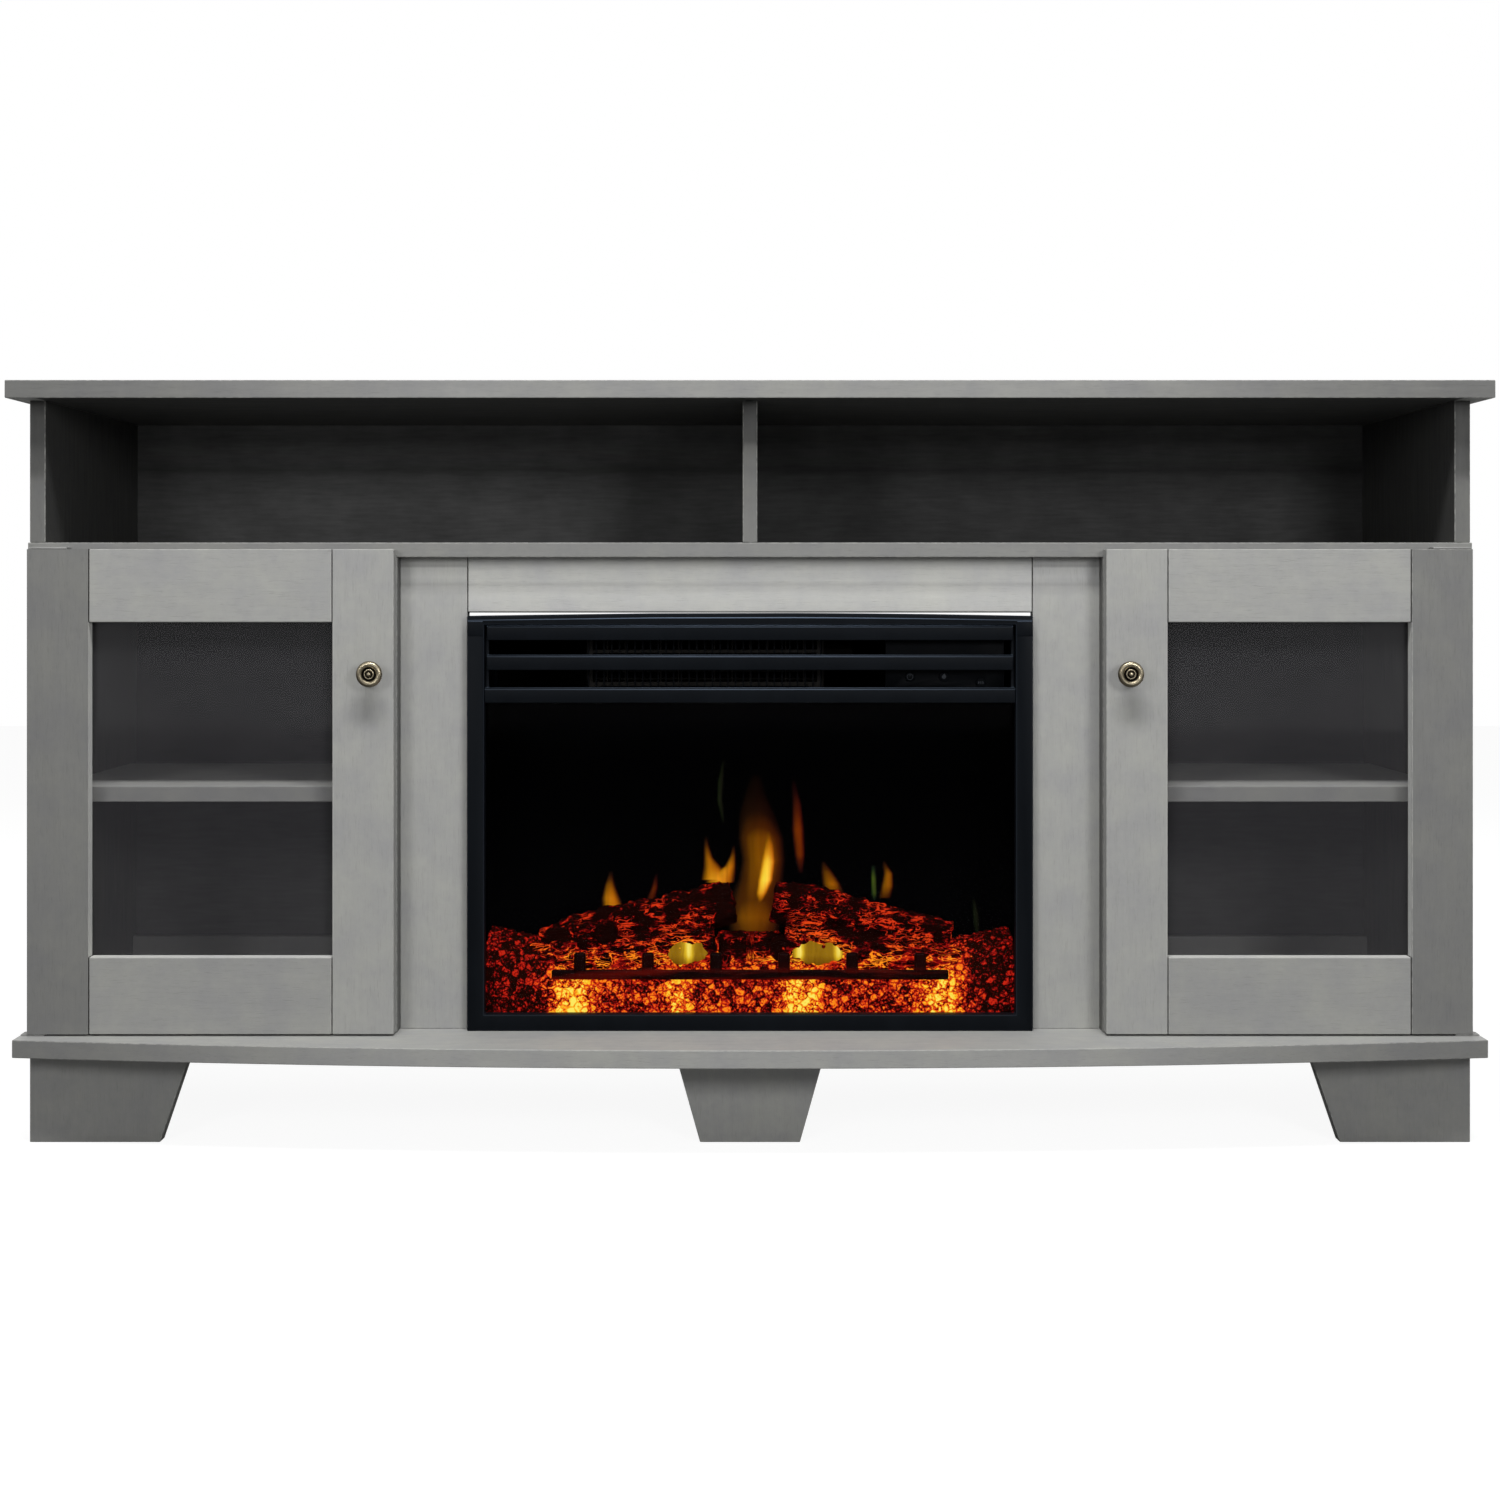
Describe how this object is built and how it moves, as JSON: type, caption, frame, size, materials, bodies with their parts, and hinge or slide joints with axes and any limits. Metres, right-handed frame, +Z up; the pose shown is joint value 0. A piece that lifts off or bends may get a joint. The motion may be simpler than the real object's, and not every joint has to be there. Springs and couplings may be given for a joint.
{
  "type": "fireplace tv stand",
  "caption": "Painted TV stand with an open media bay, glazed cupboards on pivoted doors and an electric fire insert between them.",
  "frame": {"origin": "on the floor, at the middle of the stand's overall width and depth", "axes": "+X to the right of a viewer facing the front, -Y towards that viewer, +Z up"},
  "size_m": [1.501, 0.45, 0.775],
  "materials": {
    "painted_wood": "satin warm grey paint over open grain",
    "smoked_glass": "smoke tinted, polished",
    "antique_brass": "antique brass, rubbed",
    "zinc_steel": "zinc plated",
    "black_steel": "black satin powder coat",
    "black_plastic": "moulded black",
    "fire_glass": "clear toughened",
    "ember_resin": "translucent glowing embers",
    "charred_resin": "moulded charred bark",
    "flame_screen": "smoked diffusing screen",
    "tin_plate": "bright sheet metal",
    "circuit_board": "green solder mask"
  },
  "bodies": {
    "root": {"top_board": "painted_wood", "deck_board": "painted_wood", "base_board": "painted_wood", "back_panel": "painted_wood", "upper_divider": "painted_wood", "rear_rail": "painted_wood", "upper_left_side_panel": "painted_wood", "upper_right_side_panel": "painted_wood", "lower_left_side_panel": "painted_wood", "lower_right_side_panel": "painted_wood", "left_inner_panel": "painted_wood", "right_inner_panel": "painted_wood", "left_shelf": "painted_wood", "right_shelf": "painted_wood", "surround_left_stile": "painted_wood", "surround_right_stile": "painted_wood", "surround_rail": "painted_wood", "front_left_foot": "painted_wood", "front_centre_foot": "painted_wood", "front_right_foot": "painted_wood", "rear_left_foot": "painted_wood", "rear_right_foot": "painted_wood", "left_door_lower_pivot": "zinc_steel", "left_door_upper_pivot": "zinc_steel", "left_door_catch": "black_plastic", "right_door_lower_pivot": "zinc_steel", "right_door_upper_pivot": "zinc_steel", "right_door_catch": "black_plastic", "insert_front_frame": "black_steel", "insert_louver_grille": "black_steel", "insert_housing": "black_steel", "window_glass": "fire_glass", "vent_guard": "black_plastic", "control_panel": "black_plastic", "ember_bed": "ember_resin", "log_set": "charred_resin", "fire_grate": "black_steel", "flame_screen": "flame_screen", "spindle_motor": "tin_plate", "led_board": "circuit_board", "blower_housing": "tin_plate", "heater_element": "tin_plate", "cord_gland": "black_plastic"},
    "left_door": {"left_door_hinge_stile": "painted_wood", "left_door_lock_stile": "painted_wood", "left_door_top_rail": "painted_wood", "left_door_bottom_rail": "painted_wood", "left_door_glass": "smoked_glass", "left_door_knob": "antique_brass"},
    "right_door": {"right_door_hinge_stile": "painted_wood", "right_door_lock_stile": "painted_wood", "right_door_top_rail": "painted_wood", "right_door_bottom_rail": "painted_wood", "right_door_glass": "smoked_glass", "right_door_knob": "antique_brass"},
    "power_button": {"power_button": "black_plastic"},
    "flame_button": {"flame_button": "black_plastic"},
    "heat_button": {"heat_button": "black_plastic"},
    "flame_spindle": {"flame_spindle": "tin_plate"},
    "blower_wheel": {"blower_wheel": "tin_plate"}
  },
  "joints": [
    {"name": "left_door_hinge", "type": "hinge", "parent": "root", "child": "left_door", "pos_m": [-0.7265, -0.1444, 0.3595], "axis": [0, 0, -1], "range_deg": [0, 110]},
    {"name": "right_door_hinge", "type": "hinge", "parent": "root", "child": "right_door", "pos_m": [0.7265, -0.1444, 0.3595], "axis": [0, 0, 1], "range_deg": [0, 110]},
    {"name": "power_button_press", "type": "slide", "parent": "root", "child": "power_button", "axis": [0, 1, 0], "range_m": [0, 0.0015], "stiffness_N_per_m": 300},
    {"name": "flame_button_press", "type": "slide", "parent": "root", "child": "flame_button", "axis": [0, 1, 0], "range_m": [0, 0.0015], "stiffness_N_per_m": 300},
    {"name": "heat_button_press", "type": "slide", "parent": "root", "child": "heat_button", "axis": [0, 1, 0], "range_m": [0, 0.0015], "stiffness_N_per_m": 300},
    {"name": "flame_spindle_spin", "type": "hinge", "parent": "root", "child": "flame_spindle", "pos_m": [0, 0.025, 0.178], "axis": [1, 0, 0], "continuous": true},
    {"name": "blower_wheel_spin", "type": "hinge", "parent": "root", "child": "blower_wheel", "pos_m": [0, 0.008, 0.495], "axis": [1, 0, 0], "continuous": true}
  ]
}
